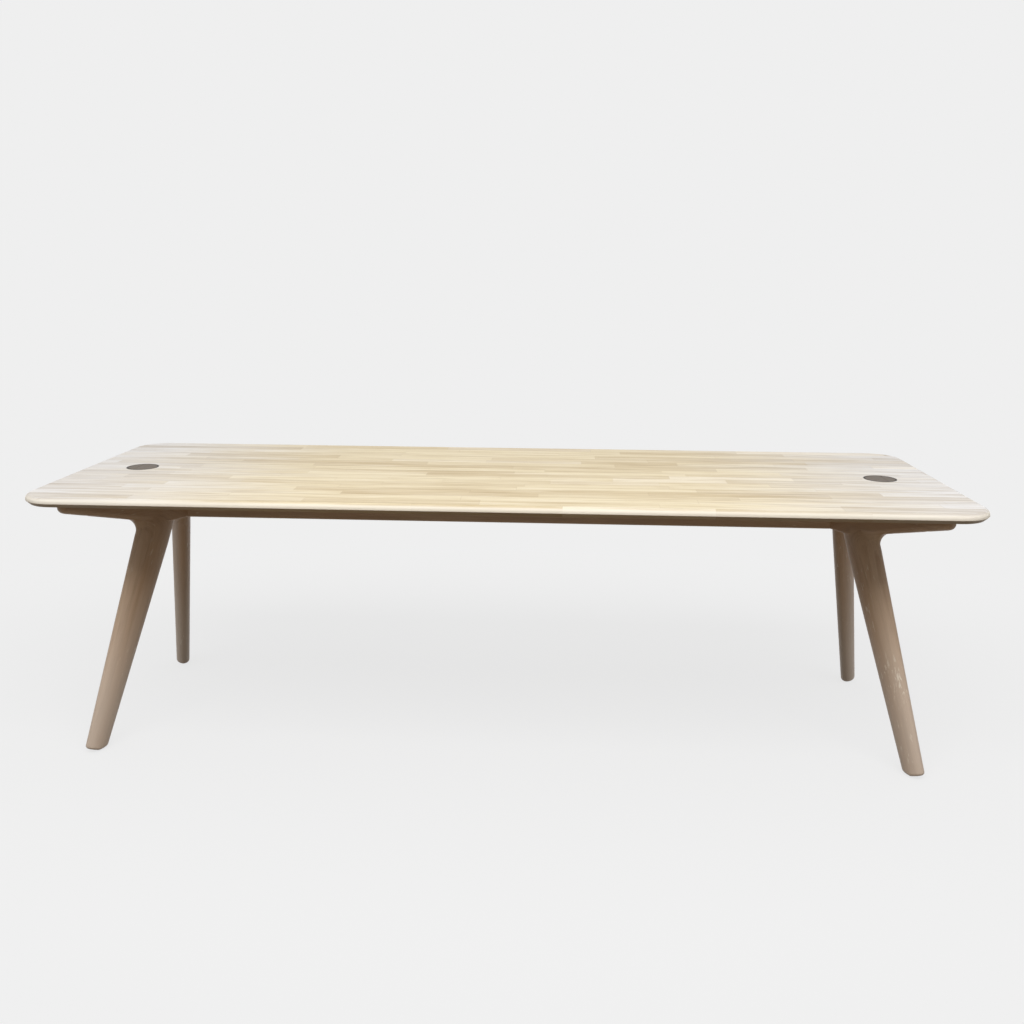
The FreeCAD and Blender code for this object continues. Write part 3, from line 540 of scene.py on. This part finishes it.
def makeFloor(kept):
    size = kept["size"]
    mesh = bpy.data.meshes.new("floor")
    outline = [(-size, -size, 0), (size, -size, 0), (size, size, 0), (-size, size, 0)]
    mesh.from_pydata(outline, [], [(0, 1, 2, 3)])
    floor = bpy.data.objects.new("floor", mesh)
    floor.location = (0, 0, -kept["drop"])
    bpy.context.scene.collection.objects.link(floor)
    material = bpy.data.materials.new("pale sweep")
    material.use_nodes = True
    tree = material.node_tree
    tree.nodes.clear()
    dull = addNode(tree, "BsdfDiffuse", {"Color": linear(kept["yard"])})
    even = addNode(tree, "Emission", {"Color": linear(groundColour), "Strength": kept["even"]})
    shaded = addNode(tree, "BsdfDiffuse", {"Color": [kept["shaded"]] * 3 + [1]})
    pale = addNode(tree, "AddShader", {}, {0: even.outputs[0], 1: shaded.outputs[0]})
    # Away from the table the ground runs even into the background
    place = addNode(tree, "TexCoord").outputs["Object"]
    scaled = addNode(tree, "Mapping", {"Scale": (1 / kept["reach"][0], 1 / kept["reach"][1], 1)},
                     {"Vector": place})
    apart = addNode(tree, "VectorMath", {"operation": "LENGTH"}, {0: scaled.outputs[0]})
    away = addNode(tree, "MapRange", {
        "interpolation_type": "SMOOTHSTEP", "From Min": kept["near"], "From Max": kept["far"],
    }, {"Value": apart.outputs["Value"]})
    farGround = addNode(tree, "Emission", {"Color": linear(groundColour), "Strength": 1})
    shown = addNode(tree, "MixShader", {}, {0: away.outputs[0], 1: pale.outputs[0], 2: farGround.outputs[0]})
    mixed = addNode(tree, "MixShader", {}, {0: showingRays(tree), 1: dull.outputs[0], 2: shown.outputs[0]})
    addNode(tree, "OutputMaterial", {}, {0: mixed.outputs[0]})
    mesh.materials.append(material)


makeFloor(floorLook)

# Sky: bright overhead and dim at the horizon, as in a yard between buildings
skyLook = {"horizon": 0.11, "zenith": 0.64, "low": 0.08, "high": 0.55}


def makeSky(kept):
    world = bpy.data.worlds.new("even sky")
    bpy.context.scene.world = world
    world.use_nodes = True
    tree = world.node_tree
    tree.nodes.clear()
    way = addNode(tree, "TexCoord").outputs["Generated"]
    rise = addNode(tree, "SeparateXYZ", {}, {"Vector": way}).outputs["Z"]
    strength = addNode(tree, "MapRange", {
        "interpolation_type": "SMOOTHSTEP", "From Min": kept["low"], "From Max": kept["high"],
        "To Min": kept["horizon"], "To Max": kept["zenith"],
    }, {"Value": rise})
    light = addNode(tree, "Background", {"Color": (1, 1, 1, 1)}, {"Strength": strength.outputs[0]})
    plain = addNode(tree, "Background", {"Color": linear(groundColour), "Strength": 1})
    mixed = addNode(tree, "MixShader", {}, {0: showingRays(tree), 1: light.outputs[0], 2: plain.outputs[0]})
    addNode(tree, "OutputWorld", {}, {0: mixed.outputs[0]})


makeSky(skyLook)

# Open side of the yard: one wide soft lamp above and in front of the table
yardLamp = {
    "place": (0.1, -2.0, 3.5),
    "aim": (0, -0.1, 0.5),
    "wide": 5.0,
    "tall": 1.8,
    "watts": 112,
}


def makeLamp(kept):
    data = bpy.data.lights.new("open side", "AREA")
    data.shape = "RECTANGLE"
    data.size = kept["wide"]
    data.size_y = kept["tall"]
    data.energy = kept["watts"]
    lamp = bpy.data.objects.new("open side", data)
    bpy.context.scene.collection.objects.link(lamp)
    place = Vector(kept["place"])
    turn = (Vector(kept["aim"]) - place).to_track_quat("-Z", "Y").to_matrix().to_4x4()
    lamp.matrix_world = Matrix.Translation(place) @ turn
    lamp.visible_camera = False


makeLamp(yardLamp)
print("stage set")

# Camera as fitted to the photograph
lens = {
    "place": (0.16895, -2.64353, 1.28299),
    "pitch": 0.24667,
    "yaw": 0.05500,
    "roll": 0.00481,
    "mm": 33.81,
    "sensor": 36,
}


def makeCamera(kept):
    data = bpy.data.cameras.new("camera")
    data.sensor_width = kept["sensor"]
    data.lens = kept["mm"]
    camera = bpy.data.objects.new("camera", data)
    bpy.context.scene.collection.objects.link(camera)
    aim = Matrix.Rotation(kept["yaw"], 4, "Z") @ Matrix.Rotation(math.pi / 2 - kept["pitch"], 4, "X")
    aim = aim @ Matrix.Rotation(kept["roll"], 4, "Z")
    camera.matrix_world = Matrix.Translation(kept["place"]) @ aim
    bpy.context.scene.camera = camera


makeCamera(lens)
bpy.context.scene.view_settings.view_transform = "Standard"

bpy.context.view_layer.update()
